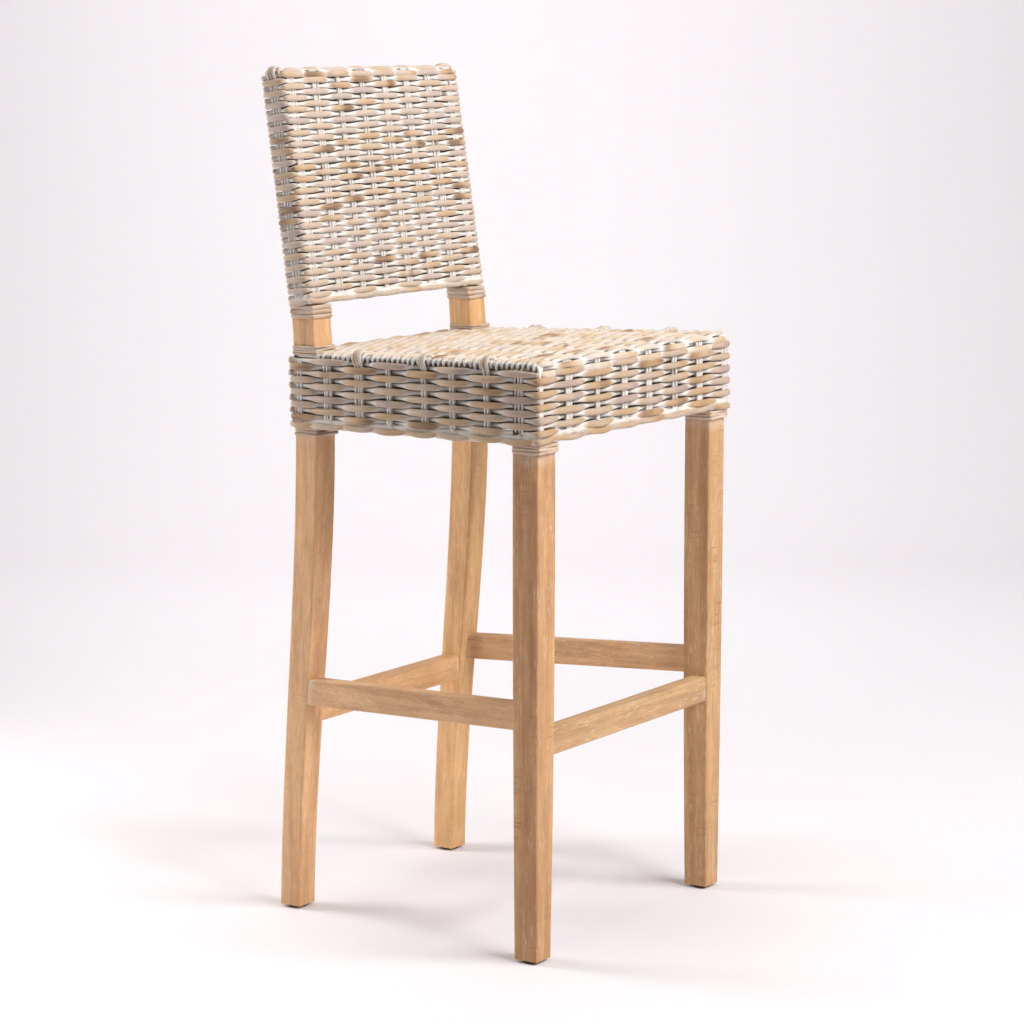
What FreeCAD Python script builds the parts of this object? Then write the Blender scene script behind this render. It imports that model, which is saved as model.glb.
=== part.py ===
import FreeCAD, Part
import math
import os

import Sketcher
from FreeCAD import Placement, Rotation, Vector

# A bar stool with a footrest: a tapered hardwood frame, a woven rattan seat and a woven rattan back.
# Millimetres. The origin is on the floor under the middle of the stool, +Z is up and the front faces -Y.

# Every driving dimension, by the name that it has in the sheet.
SIZES = {
    # Feet
    "glide_tall": 4, "glide_wide": 26, "glide_chamfer": 1,
    "nail_shank": 3, "nail_head": 8, "nail_head_tall": 1.2, "nail_length": 20, "nail_gap": 0.2,
    # Front legs: rounded square sections at the foot, the knee and the top
    "front_leg_x": 208, "front_leg_y": -204.4, "front_leg_length": 750, "front_knee": 300,
    "front_foot_wide": 33.5, "front_foot_deep": 34.5, "front_foot_out": 1.8,
    "front_knee_wide": 39.6, "front_knee_deep": 37.6,
    "front_top_wide": 39.6, "front_top_deep": 38.4,
    # Rear legs: kicked back at the foot, upright under the seat, leaning back up to the woven back
    "rear_leg_x": 177.6, "rear_foot_y": 197.9,
    "rear_foot_wide": 35, "rear_foot_deep": 32.5,
    "rear_knee": 326, "rear_knee_wide": 38, "rear_knee_deep": 34.5, "rear_knee_shift": -20.6,
    "rear_hip": 700, "rear_hip_wide": 40, "rear_hip_deep": 36, "rear_hip_shift": -37.5,
    "rear_shoulder_wide": 38, "rear_shoulder_deep": 36, "rear_shoulder_in": 1.1,
    "leg_edge": 2.5,
    # Posts inside the woven back
    "post_x": 172, "post_wide": 24, "post_deep": 21, "post_edge": 4, "post_length": 300,
    # Joints
    "tenon_thick": 10, "tenon_shoulder": 6, "tenon_setback": 5, "joint_gap": 0.2, "bar_edge": 3,
    # Side stretchers, which fall towards the back
    "side_stretcher_thick": 22.5, "side_stretcher_tall": 35,
    "side_stretcher_front_x": 214.5, "side_stretcher_front_z": 318,
    "side_stretcher_rear_x": 183.1, "side_stretcher_rear_y": 177.6, "side_stretcher_rear_z": 300,
    # Footrest between the front legs
    "footrest_thick": 22.5, "footrest_tall": 34.5, "footrest_y": -209.9, "footrest_z": 282.6,
    # Rear stretcher
    "rear_stretcher_thick": 29, "rear_stretcher_tall": 34,
    "rear_stretcher_y": 181.6, "rear_stretcher_z": 271.6,
    # Seat, in a frame at the middle of its front top edge that tips back
    "seat_front_y": -229.9, "seat_top_z": 763, "seat_tilt": 1.15,
    "seat_front_half": 236.5, "seat_rear_half": 204.5, "seat_long": 418,
    "seat_drop": 99, "seat_corner": 8, "rim_wall": 5, "top_thick": 7, "seat_round": 5,
    "border_tall": 12, "border_wide": 20, "layer_gap": 0.3,
    # Seat frame inside the weave
    "seat_rail_thick": 22, "seat_rail_tall": 74, "seat_rail_sink": -46,
    "front_rail_back": 25, "rear_rail_back": 393,
    "side_rail_front_x": 211.8, "side_rail_front_back": 25.5,
    "side_rail_rear_x": 182.3, "side_rail_rear_back": 391,
    "batten_thick": 45, "batten_tall": 12, "batten_sink": -15.2,
    "batten_front_x": 72, "batten_front_back": 23, "batten_rear_x": 62, "batten_rear_back": 391,
    "block_side": 96, "block_tall": 40, "block_sink": -66,
    "screw_shank": 4.5, "screw_head": 9, "screw_head_tall": 3.5, "screw_length": 46, "screw_gap": 0.2,
    # Woven back, in a frame at the middle of its front lower edge that leans back
    "back_foot_y": 146.5, "back_foot_z": 815, "back_rake": 8.55,
    "back_wide": 392, "back_deep": 41, "back_tall": 311,
    "back_corner": 12, "back_round": 10, "back_wall": 6, "back_cap": 7.5, "back_border_tall": 8,
    "back_rail_thick": 18, "back_rail_tall": 38, "back_rail_back": 20.5,
    "back_rail_low": 28, "back_rail_mid": 155, "back_rail_high": 280,
    # Cane bindings round the legs and posts
    "binding_thick": 2.6, "binding_tall": 11.5, "binding_edge": 4,
}

doc = FreeCAD.newDocument("BarStool")
sheet = doc.addObject("Spreadsheet::Sheet", "Sizes")
for row, (alias, number) in enumerate(SIZES.items(), start=1):
    sheet.set(f"A{row}", alias)
    sheet.set(f"B{row}", str(number))
    sheet.setAlias(f"B{row}", alias)
doc.recompute()


def size(term):
    """The number behind an alias, which may carry a minus sign."""
    if term.startswith("-"):
        return -float(sheet.get(term[1:]))
    return float(sheet.get(term))


def ref(term):
    """The same alias as an expression can name it."""
    return term.replace("-", "-Sizes.", 1) if term.startswith("-") else f"Sizes.{term}"


def bind(thing, **expressions):
    for prop, expression in expressions.items():
        thing.setExpression(prop, expression)
    return thing


def tilt_back(origin, alias):
    """A frame that leans its top towards the back by the angle in the sheet."""
    return Placement(origin, Rotation(Vector(1, 0, 0), -size(alias)))


def at(frame, offset, turn=Rotation()):
    return frame.multiply(Placement(offset, turn))


# Sketches and solids ------------------------------------------------------------------------------------


def attach(body, sketch, plane):
    support = [part for part in body.Origin.OriginFeatures if part.Role == plane]
    sketch.AttachmentSupport = [(support[0], "")]
    sketch.MapMode = "FlatFace"


def rounded_rectangle(body, name, wide, deep, radius, plane="XY_Plane"):
    """A fully constrained rectangle with round corners, centred on its sketch's origin."""
    sketch = body.newObject("Sketcher::SketchObject", name)
    attach(body, sketch, plane)
    x, y, r = size(wide) / 2, size(deep) / 2, size(radius)
    ends = [
        (Vector(-x + r, -y), Vector(x - r, -y)),
        (Vector(x, -y + r), Vector(x, y - r)),
        (Vector(x - r, y), Vector(-x + r, y)),
        (Vector(-x, y - r), Vector(-x, -y + r)),
    ]
    centres = [Vector(x - r, -y + r), Vector(x - r, y - r), Vector(-x + r, y - r), Vector(-x + r, -y + r)]
    for k in range(4):
        sketch.addGeometry(Part.LineSegment(*ends[k]), False)
    for k in range(4):
        circle = Part.Circle(centres[k], Vector(0, 0, 1), r)
        start = (k - 1) * math.pi / 2
        sketch.addGeometry(Part.ArcOfCircle(circle, start, start + math.pi / 2), False)
    for k in range(4):
        sketch.addConstraint(Sketcher.Constraint("Tangent", k, 2, 4 + k, 1))
        sketch.addConstraint(Sketcher.Constraint("Tangent", 4 + k, 2, (k + 1) % 4, 1))
        sketch.addConstraint(Sketcher.Constraint("Vertical" if k % 2 else "Horizontal", k))
    for k in range(5, 8):
        sketch.addConstraint(Sketcher.Constraint("Equal", 4, k))
    sketch.addConstraint(Sketcher.Constraint("Symmetric", 0, 1, 2, 1, -1, 1))
    drive(sketch, Sketcher.Constraint("Radius", 4, r), "corner", ref(radius))
    drive(sketch, Sketcher.Constraint("DistanceX", 3, 1, 1, 1, 2 * x), "wide", ref(wide))
    drive(sketch, Sketcher.Constraint("DistanceY", 0, 1, 2, 1, 2 * y), "deep", ref(deep))
    return sketch


def drive(sketch, constraint, name, expression):
    """Adds a dimension and binds it to the sheet."""
    index = sketch.addConstraint(constraint)
    sketch.renameConstraint(index, name)
    sketch.setExpression(f"Constraints.{name}", expression)


def rounded_prism(name, wide, deep, radius, length, plane="XY_Plane"):
    """A straight bar of rounded rectangular section. The length may be any expression."""
    body = doc.addObject("PartDesign::Body", name)
    sketch = rounded_rectangle(body, name + "_section", wide, deep, radius, plane)
    pad = body.newObject("PartDesign::Pad", name + "_pad")
    pad.Profile = sketch
    bind(pad, Length=length)
    sketch.Visibility = False
    return body


def trapezoid_prism(name, front_half, rear_half, front_y, rear_y, length, corner=None):
    """A plate with a wide front and a narrow rear, symmetric about the YZ plane."""
    body = doc.addObject("PartDesign::Body", name)
    sketch = body.newObject("Sketcher::SketchObject", name + "_outline")
    attach(body, sketch, "XY_Plane")
    points = [
        Vector(-front_half[1], front_y[1]), Vector(front_half[1], front_y[1]),
        Vector(rear_half[1], rear_y[1]), Vector(-rear_half[1], rear_y[1]),
    ]
    for k in range(4):
        sketch.addGeometry(Part.LineSegment(points[k], points[(k + 1) % 4]), False)
    for k in range(4):
        sketch.addConstraint(Sketcher.Constraint("Coincident", k, 2, (k + 1) % 4, 1))
    sketch.addConstraint(Sketcher.Constraint("Symmetric", 0, 1, 0, 2, -2))
    sketch.addConstraint(Sketcher.Constraint("Symmetric", 2, 1, 2, 2, -2))
    drive(sketch, Sketcher.Constraint("DistanceX", 0, 1, 0, 2, 2 * front_half[1]), "front",
          f"2 * ({front_half[0]})")
    drive(sketch, Sketcher.Constraint("DistanceX", 2, 2, 2, 1, 2 * rear_half[1]), "rear",
          f"2 * ({rear_half[0]})")
    drive(sketch, Sketcher.Constraint("DistanceY", -1, 1, 2, 1, rear_y[1]), "reach", rear_y[0])
    drive(sketch, Sketcher.Constraint("DistanceY", 0, 1, 2, 1, rear_y[1] - front_y[1]), "depth",
          f"({rear_y[0]}) - ({front_y[0]})")
    pad = body.newObject("PartDesign::Pad", name + "_pad")
    pad.Profile = sketch
    bind(pad, Length=length)
    if corner:
        round_off(body, name + "_corners",
                  lambda edge: abs(edge.tangentAt(edge.FirstParameter).z) > 0.9, corner)
    return body


def round_off(body, name, chosen, radius):
    """Rounds the edges of a body that a test picks out, before the body is placed."""
    doc.recompute()
    base = body.Tip
    edges = [f"Edge{i}" for i, edge in enumerate(base.Shape.Edges, start=1) if chosen(edge)]
    fillet = body.newObject("PartDesign::Fillet", name)
    fillet.Base = (base, edges)
    bind(fillet, Radius=radius)
    body.Tip = fillet


def cut(name, base, tool):
    result = doc.addObject("Part::Cut", name)
    result.Base = base
    result.Tool = tool
    return result


def group(name, members):
    """Several solids as one tool."""
    compound = doc.addObject("Part::Compound", name)
    compound.Links = members
    return compound


def box(name, frame, sizes, corner):
    """A Part box whose three sizes are expressions, with its corner at a point of a frame."""
    solid = doc.addObject("Part::Box", name)
    bind(solid, Length=sizes[0], Width=sizes[1], Height=sizes[2])
    solid.Placement = at(frame, corner)
    return solid


def rod(name, frame, radius, length):
    """A Part cylinder along the frame's Z axis, its two sizes given as expressions."""
    solid = doc.addObject("Part::Cylinder", name)
    bind(solid, Radius=radius, Height=length)
    solid.Placement = frame
    return solid


# Legs ---------------------------------------------------------------------------------------------------


def section(body, name, wide, deep, height, shift_x, shift_y):
    """A leg's cross-section at a height over its foot, moved sideways by numbers with expressions."""
    sketch = rounded_rectangle(body, name, wide, deep, "leg_edge")
    sketch.setExpression("AttachmentOffset.Base.x", shift_x)
    sketch.setExpression("AttachmentOffset.Base.y", shift_y)
    sketch.setExpression("AttachmentOffset.Base.z", height)
    return sketch


def loft(body, name, sketches):
    feature = body.newObject("PartDesign::AdditiveLoft", name)
    feature.Profile = sketches[0]
    feature.Sections = sketches[1:]
    feature.Ruled = False
    for sketch in sketches:
        sketch.Visibility = False
    return feature


def front_leg_blank(name, side):
    """Tapers to the foot on its inner face, so the foot's section sits further out."""
    body = doc.addObject("PartDesign::Body", name)
    stations = [
        section(body, name + "_foot", "front_foot_wide", "front_foot_deep", "0",
                f"{side} * Sizes.front_foot_out", "0"),
        section(body, name + "_knee", "front_knee_wide", "front_knee_deep", "Sizes.front_knee", "0", "0"),
        section(body, name + "_top", "front_top_wide", "front_top_deep", "Sizes.front_leg_length", "0", "0"),
    ]
    loft(body, name + "_loft", stations)
    body.Placement = Placement(Vector(side * size("front_leg_x"), size("front_leg_y"), size("glide_tall")),
                               Rotation())
    return body


def rear_leg_blank(name, side):
    """One piece from the foot to the top of the back, with a shoulder where the weave starts."""
    foot = Vector(side * size("rear_leg_x"), size("rear_foot_y"), size("glide_tall"))
    body = doc.addObject("PartDesign::Body", name)
    shoulder = rounded_rectangle(body, name + "_shoulder", "rear_shoulder_wide", "rear_shoulder_deep",
                                 "leg_edge")
    middle = Vector(side * (size("rear_leg_x") - size("rear_shoulder_in")), size("back_rail_back"), 0)
    lean = Rotation(Vector(1, 0, 0), -size("back_rake"))
    shoulder.AttachmentOffset = Placement(back_frame.multVec(middle) - foot, lean)
    stations = [
        section(body, name + "_foot", "rear_foot_wide", "rear_foot_deep", "0", "0", "0"),
        section(body, name + "_knee", "rear_knee_wide", "rear_knee_deep", "Sizes.rear_knee",
                "0", "Sizes.rear_knee_shift"),
        section(body, name + "_hip", "rear_hip_wide", "rear_hip_deep", "Sizes.rear_hip",
                "0", "Sizes.rear_hip_shift"),
        shoulder,
    ]
    loft(body, name + "_loft", stations)
    post = rounded_rectangle(body, name + "_post", "post_wide", "post_deep", "post_edge")
    centre = Vector(side * size("post_x"), size("back_rail_back"), 0)
    post.AttachmentOffset = Placement(back_frame.multVec(centre) - foot, lean)
    pad = body.newObject("PartDesign::Pad", name + "_post_pad")
    pad.Profile = post
    bind(pad, Length="Sizes.post_length")
    body.Placement = Placement(foot, Rotation())
    return body


# Rails and stretchers -----------------------------------------------------------------------------------


def distance(start, end):
    """The distance between two points of the sheet, as an expression."""
    spans = [f"(({ref(b)}) - ({ref(a)}))^2" for a, b in zip(start, end)]
    return f"sqrt({' + '.join(spans)})"


def bar(name, start, end, kind, frame=Placement(), tenons=True):
    """A bar between two points of a frame, coped to the legs, with stub tenons that fill its mortises."""
    first = Vector(*[size(term) for term in start])
    last = Vector(*[size(term) for term in end])
    along = (last - first).normalize()
    across = Vector(0, 0, 1).cross(along).normalize()
    frame = at(frame, first, Rotation(along, across, along.cross(across), "XYZ"))
    length = distance(start, end)
    blank = rounded_prism(name + "_blank" if tenons else name, kind + "_thick", kind + "_tall", "bar_edge",
                          length, "YZ_Plane")
    blank.Placement = frame
    if not tenons:
        return blank
    coped = cut(name + "_coped", blank, leg_blanks)
    tall = f"Sizes.{kind}_tall - 2 * Sizes.tenon_shoulder"
    half = Vector(0, size("tenon_thick") / 2, size(kind + "_tall") / 2 - size("tenon_shoulder"))
    setback = Vector(size("tenon_setback"), 0, 0)
    core = box(name + "_core", frame, (f"{length} - 2 * Sizes.tenon_setback", "Sizes.tenon_thick", tall),
               setback - half)
    gap = size("joint_gap")
    grown = f"{length} - 2 * Sizes.tenon_setback + 2 * Sizes.joint_gap"
    mortise = box(name + "_mortise", frame,
                  (grown, "Sizes.tenon_thick + 2 * Sizes.joint_gap", f"{tall} + 2 * Sizes.joint_gap"),
                  setback - half - Vector(gap, gap, gap))
    mortises.append(mortise)
    joined = doc.addObject("Part::Fuse", name + "_tenoned")
    joined.Base = coped
    joined.Tool = core
    joined.Refine = True
    return joined


def finish(blank, name, tool=None):
    """Names a sub-part, cutting it first when something is let into it."""
    part = cut(name, blank, tool) if tool else blank
    part.Label = name
    subparts.append(part)
    return part


back_frame = tilt_back(Vector(0, size("back_foot_y"), size("back_foot_z")), "back_rake")
seat_frame = tilt_back(Vector(0, size("seat_front_y"), size("seat_top_z")), "seat_tilt")
sides = (("left", -1), ("right", 1))
subparts = []
mortises = []

leg_list = []
for hand, side in sides:
    leg_list.append(front_leg_blank(f"front_leg_{hand}_blank", side))
    leg_list.append(rear_leg_blank(f"rear_leg_{hand}_blank", side))
leg_blanks = group("leg_blanks", leg_list)
doc.recompute()

rails = {}
for hand, sign in (("left", "-"), ("right", "")):
    rails[f"side_stretcher_{hand}"] = bar(
        f"side_stretcher_{hand}",
        (sign + "side_stretcher_front_x", "front_leg_y", "side_stretcher_front_z"),
        (sign + "side_stretcher_rear_x", "side_stretcher_rear_y", "side_stretcher_rear_z"),
        "side_stretcher")
    rails[f"seat_rail_{hand}"] = bar(
        f"seat_rail_{hand}",
        (sign + "side_rail_front_x", "side_rail_front_back", "seat_rail_sink"),
        (sign + "side_rail_rear_x", "side_rail_rear_back", "seat_rail_sink"),
        "seat_rail", seat_frame)
rails["footrest"] = bar("footrest", ("-front_leg_x", "footrest_y", "footrest_z"),
                        ("front_leg_x", "footrest_y", "footrest_z"), "footrest")
rails["rear_stretcher"] = bar("rear_stretcher", ("-rear_leg_x", "rear_stretcher_y", "rear_stretcher_z"),
                              ("rear_leg_x", "rear_stretcher_y", "rear_stretcher_z"), "rear_stretcher")
rails["seat_rail_front"] = bar("seat_rail_front", ("-front_leg_x", "front_rail_back", "seat_rail_sink"),
                               ("front_leg_x", "front_rail_back", "seat_rail_sink"), "seat_rail", seat_frame)
rails["seat_rail_rear"] = bar("seat_rail_rear", ("-rear_leg_x", "rear_rail_back", "seat_rail_sink"),
                              ("rear_leg_x", "rear_rail_back", "seat_rail_sink"), "seat_rail", seat_frame)
for level, height in (("bottom", "back_rail_low"), ("middle", "back_rail_mid"), ("top", "back_rail_high")):
    rails[f"back_rail_{level}"] = bar(f"back_rail_{level}", ("-post_x", "back_rail_back", height),
                                      ("post_x", "back_rail_back", height), "back_rail", back_frame)

# Seat battens let into the tops of the front and rear rails
housings = []
for hand, sign in (("left", "-"), ("right", "")):
    start = (sign + "batten_front_x", "batten_front_back", "batten_sink")
    end = (sign + "batten_rear_x", "batten_rear_back", "batten_sink")
    batten = finish(bar(f"seat_batten_{hand}", start, end, "batten", seat_frame, tenons=False),
                    f"seat_batten_{hand}")
    gap = size("joint_gap")
    reach = " + 2 * Sizes.joint_gap"
    housings.append(box(f"batten_housing_{hand}", batten.Placement,
                        (distance(start, end) + reach, f"Sizes.batten_thick{reach}", "Sizes.seat_rail_thick"),
                        Vector(-gap, -size("batten_thick") / 2 - gap, -size("batten_tall") / 2 - gap)))
housing_tool = group("batten_housings", housings)
for name, rail in rails.items():
    finish(rail, name, housing_tool if name in ("seat_rail_front", "seat_rail_rear") else None)

# Corner blocks, each held to its leg by a screw on the diagonal -----------------------------------------

rail_solids = [part for part in subparts if part.Label.startswith("seat_rail")]
block_tool = group("corner_fit", [leg_blanks] + rail_solids)
screw_solids = []
screw_holes = []


def right_triangle(name):
    """A triangular prism with its right angle at the origin."""
    body = doc.addObject("PartDesign::Body", name)
    sketch = body.newObject("Sketcher::SketchObject", name + "_outline")
    attach(body, sketch, "XY_Plane")
    reach = size("block_side")
    points = [Vector(0, 0), Vector(reach, 0), Vector(0, reach)]
    for k in range(3):
        sketch.addGeometry(Part.LineSegment(points[k], points[(k + 1) % 3]), False)
    for k in range(3):
        sketch.addConstraint(Sketcher.Constraint("Coincident", k, 2, (k + 1) % 3, 1))
    sketch.addConstraint(Sketcher.Constraint("Coincident", 0, 1, -1, 1))
    sketch.addConstraint(Sketcher.Constraint("Horizontal", 0))
    sketch.addConstraint(Sketcher.Constraint("Vertical", 2))
    drive(sketch, Sketcher.Constraint("DistanceX", 0, 1, 0, 2, reach), "along", "Sizes.block_side")
    drive(sketch, Sketcher.Constraint("DistanceY", 2, 2, 2, 1, reach), "up", "Sizes.block_side")
    pad = body.newObject("PartDesign::Pad", name + "_pad")
    pad.Profile = sketch
    bind(pad, Length="Sizes.block_tall")
    return body


def corner_block(name, corner, turn):
    """A block in a corner of the seat frame. The turn faces its right angle into the corner."""
    blank = right_triangle(name + "_blank")
    spin = Rotation(Vector(0, 0, 1), turn)
    blank.Placement = at(seat_frame, Vector(corner[0], corner[1], size("block_sink")), spin)
    # The screw runs from the long face into the leg, square to that face.
    face = Vector(size("block_side") / 2, size("block_side") / 2, size("block_tall") / 2)
    inward = Rotation(Vector(0, 0, 1), Vector(-1, -1, 0))
    screw_frame = at(blank.Placement, face, inward)
    hole = rod(name + "_hole", at(screw_frame, Vector(0, 0, -size("screw_gap"))),
               "Sizes.screw_shank / 2 + Sizes.screw_gap", "Sizes.screw_length + 2 * Sizes.screw_gap")
    shank = rod(name + "_shank", screw_frame, "Sizes.screw_shank / 2", "Sizes.screw_length")
    head = rod(name + "_head", at(screw_frame, Vector(0, 0, -size("screw_head_tall"))),
               "Sizes.screw_head / 2", "Sizes.screw_head_tall")
    screw = doc.addObject("Part::Fuse", name + "_screw")
    screw.Base = shank
    screw.Tool = head
    screw_solids.append(screw)
    screw_holes.append(hole)
    finish(blank, name, group(name + "_fit", [block_tool, hole]))


for hand, side in sides:
    front_corner = (side * size("side_rail_front_x"), size("front_rail_back"))
    rear_corner = (side * size("side_rail_rear_x"), size("rear_rail_back"))
    corner_block(f"corner_block_front_{hand}", front_corner, 0 if side < 0 else 90)
    corner_block(f"corner_block_rear_{hand}", rear_corner, -90 if side < 0 else 180)
finish(group("corner_block_screws", screw_solids), "corner_block_screws")

# Glides and the nails that hold them --------------------------------------------------------------------


def glide(name, foot):
    """A round plastic foot with a chamfered rim and a sunk hole for its nail."""
    disc = rod(name + "_disc", Placement(foot, Rotation()), "Sizes.glide_wide / 2", "Sizes.glide_tall")
    doc.recompute()
    rim = [i for i, edge in enumerate(disc.Shape.Edges, start=1) if edge.Closed and edge.CenterOfMass.z < 1]
    eased = doc.addObject("Part::Chamfer", name + "_eased")
    eased.Base = disc
    eased.Edges = [(rim[0], size("glide_chamfer"), size("glide_chamfer"))]
    low = Placement(foot, Rotation())
    bore = rod(name + "_bore", low, "Sizes.nail_shank / 2 + Sizes.nail_gap", "Sizes.glide_tall")
    sink = rod(name + "_sink", low, "Sizes.nail_head / 2 + Sizes.nail_gap",
               "Sizes.nail_head_tall + 2 * Sizes.nail_gap")
    finish(eased, name, group(name + "_holes", [bore, sink]))
    head = rod(name + "_nail_head", Placement(foot + Vector(0, 0, 2 * size("nail_gap")), Rotation()),
               "Sizes.nail_head / 2", "Sizes.nail_head_tall")
    shank = rod(name + "_nail_shank", head.Placement, "Sizes.nail_shank / 2", "Sizes.nail_length")
    nail = doc.addObject("Part::Fuse", name + "_nail")
    nail.Base = head
    nail.Tool = shank
    nails.append(nail)
    hole = rod(name + "_pilot", low, "Sizes.nail_shank / 2 + Sizes.nail_gap", "Sizes.nail_length + 1")
    nail_holes.append(hole)


nails = []
nail_holes = []
for hand, side in sides:
    front_x = side * (size("front_leg_x") + size("front_foot_out"))
    glide(f"glide_front_{hand}", Vector(front_x, size("front_leg_y"), 0))
    glide(f"glide_rear_{hand}", Vector(side * size("rear_leg_x"), size("rear_foot_y"), 0))
finish(group("glide_nails", nails), "glide_nails")

leg_holes = group("leg_holes", mortises + screw_holes + nail_holes)
for blank in leg_list:
    finish(blank, blank.Name.replace("_blank", ""), leg_holes)

# Woven seat ---------------------------------------------------------------------------------------------

front_half = ("Sizes.seat_front_half", size("seat_front_half"))
rear_half = ("Sizes.seat_rear_half", size("seat_rear_half"))
front_edge = ("0", 0.0)
rear_edge = ("Sizes.seat_long", size("seat_long"))


def shrunk(pair, alias, sign=-1):
    """An outline's size moved in or out by another one."""
    return f"{pair[0]} {'-' if sign < 0 else '+'} Sizes.{alias}", pair[1] + sign * size(alias)


def seat_ring(name, wall, low, length):
    """A ring that follows the seat's outline, a given wall wide, with its floor at a depth."""
    outer = trapezoid_prism(name + "_outer", front_half, rear_half, front_edge, rear_edge, length,
                            "Sizes.seat_corner")
    inner = trapezoid_prism(name + "_inner", shrunk(front_half, wall), shrunk(rear_half, wall),
                            shrunk(front_edge, wall, 1), shrunk(rear_edge, wall), length)
    for body in (outer, inner):
        body.Placement = at(seat_frame, Vector(0, 0, low))
    return outer, inner


rim_low = size("border_tall") + size("layer_gap") - size("seat_drop")
rim_outer, rim_inner = seat_ring(
    "rim", "rim_wall", rim_low,
    "Sizes.seat_drop - Sizes.border_tall - Sizes.top_thick - 2 * Sizes.layer_gap")
finish(rim_outer, "woven_seat_rim", rim_inner)

border_outer, border_inner = seat_ring("border", "border_wide", -size("seat_drop"), "Sizes.border_tall")
finish(border_outer, "woven_seat_border", group("border_fit", [border_inner, leg_blanks]))

top_blank = trapezoid_prism("seat_top_blank", front_half, rear_half, front_edge, rear_edge, "Sizes.top_thick",
                            "Sizes.seat_corner")
round_off(top_blank, "seat_top_round", lambda edge: edge.BoundBox.ZMin > size("top_thick") - 0.01,
          "Sizes.seat_round")
top_blank.Placement = at(seat_frame, Vector(0, 0, -size("top_thick")))
finish(top_blank, "woven_seat_top", leg_blanks)

# Woven back ---------------------------------------------------------------------------------------------

low_z = size("back_border_tall") + size("layer_gap")


def back_block(name, length, inset="0"):
    """The back's outer form, or its hollow when inset, standing on the back's border."""
    body = rounded_prism(name, "back_wide", "back_deep", "back_corner", length)
    sketch = doc.getObject(name + "_section")
    sketch.setExpression("Constraints.wide", f"Sizes.back_wide - 2 * {inset}")
    sketch.setExpression("Constraints.deep", f"Sizes.back_deep - 2 * {inset}")
    sketch.setExpression("Constraints.corner", f"Sizes.back_corner - {inset}")
    return body


back_height = "Sizes.back_tall - Sizes.back_border_tall - Sizes.layer_gap"
back_outer = back_block("back_outer", back_height)
back_hollow = back_block("back_hollow", f"{back_height} - Sizes.back_cap", "Sizes.back_wall")
top_level = size("back_tall") - low_z
round_off(back_outer, "back_top_round",
          lambda edge: edge.BoundBox.ZMin > top_level - 0.01, "Sizes.back_round")
for body in (back_outer, back_hollow):
    body.Placement = at(back_frame, Vector(0, size("back_deep") / 2, low_z))
finish(back_outer, "woven_back", back_hollow)

back_hem = rounded_prism("back_hem", "back_wide", "back_deep", "back_corner", "Sizes.back_border_tall")
back_hem.Placement = at(back_frame, Vector(0, size("back_deep") / 2, 0))
finish(back_hem, "woven_back_border", leg_blanks)

# Cane bindings ------------------------------------------------------------------------------------------


def binding(name, frame, middle, kind, leg):
    """Cane wound round a leg, as one ring that fits the leg all round."""
    ring = rounded_prism(name + "_ring", kind + "_wide", kind + "_deep", "binding_edge", "Sizes.binding_tall")
    sketch = doc.getObject(name + "_ring_section")
    sketch.setExpression("Constraints.wide", f"Sizes.{kind}_wide + 2 * Sizes.binding_thick")
    sketch.setExpression("Constraints.deep", f"Sizes.{kind}_deep + 2 * Sizes.binding_thick")
    ring.Placement = at(frame, middle)
    finish(ring, name, leg)


under_seat = -size("seat_drop") - size("layer_gap") - size("binding_tall")
front_back = size("front_leg_y") - size("seat_front_y")
hip_back = size("rear_foot_y") + size("rear_hip_shift") - size("seat_front_y")
for hand, side in sides:
    front_leg = doc.getObject(f"front_leg_{hand}_blank")
    rear_leg = doc.getObject(f"rear_leg_{hand}_blank")
    binding(f"leg_binding_front_{hand}", seat_frame,
            Vector(side * size("front_leg_x"), front_back, under_seat), "front_top", front_leg)
    binding(f"leg_binding_rear_{hand}", seat_frame,
            Vector(side * size("rear_leg_x"), hip_back, under_seat), "rear_hip", rear_leg)
    binding(f"post_binding_{hand}", seat_frame,
            Vector(side * size("rear_leg_x"), hip_back, size("layer_gap")), "rear_hip", rear_leg)
    binding(f"panel_binding_{hand}", back_frame,
            Vector(side * (size("rear_leg_x") - size("rear_shoulder_in")), size("back_rail_back"),
                   -size("layer_gap") - size("binding_tall")), "rear_shoulder", rear_leg)

# Checks and export --------------------------------------------------------------------------------------

doc.recompute()
faulty = [thing.Name for thing in doc.Objects if {"Invalid", "Error"} & set(thing.State)]
faulty += [part.Label for part in subparts if part.Shape.isNull() or not part.Shape.isValid()]
faulty += [part.Label for part in subparts if not part.Shape.Solids]
if faulty:
    raise RuntimeError("These objects failed: " + ", ".join(faulty))

os.makedirs("parts", exist_ok=True)
for part in subparts:
    part.Shape.exportStep(f"parts/{part.Label}.step")
whole = Part.makeCompound([part.Shape for part in subparts]).BoundBox
print(f"{len(subparts)} sub-parts, box {whole}")
for part in subparts:
    print(f"{part.Label:28s} {len(part.Shape.Solids)} solid(s) {part.Shape.Volume / 1000:9.1f} cm3")
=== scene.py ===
import math

import bpy
import numpy as np
from mathutils import Matrix, Vector


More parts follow.
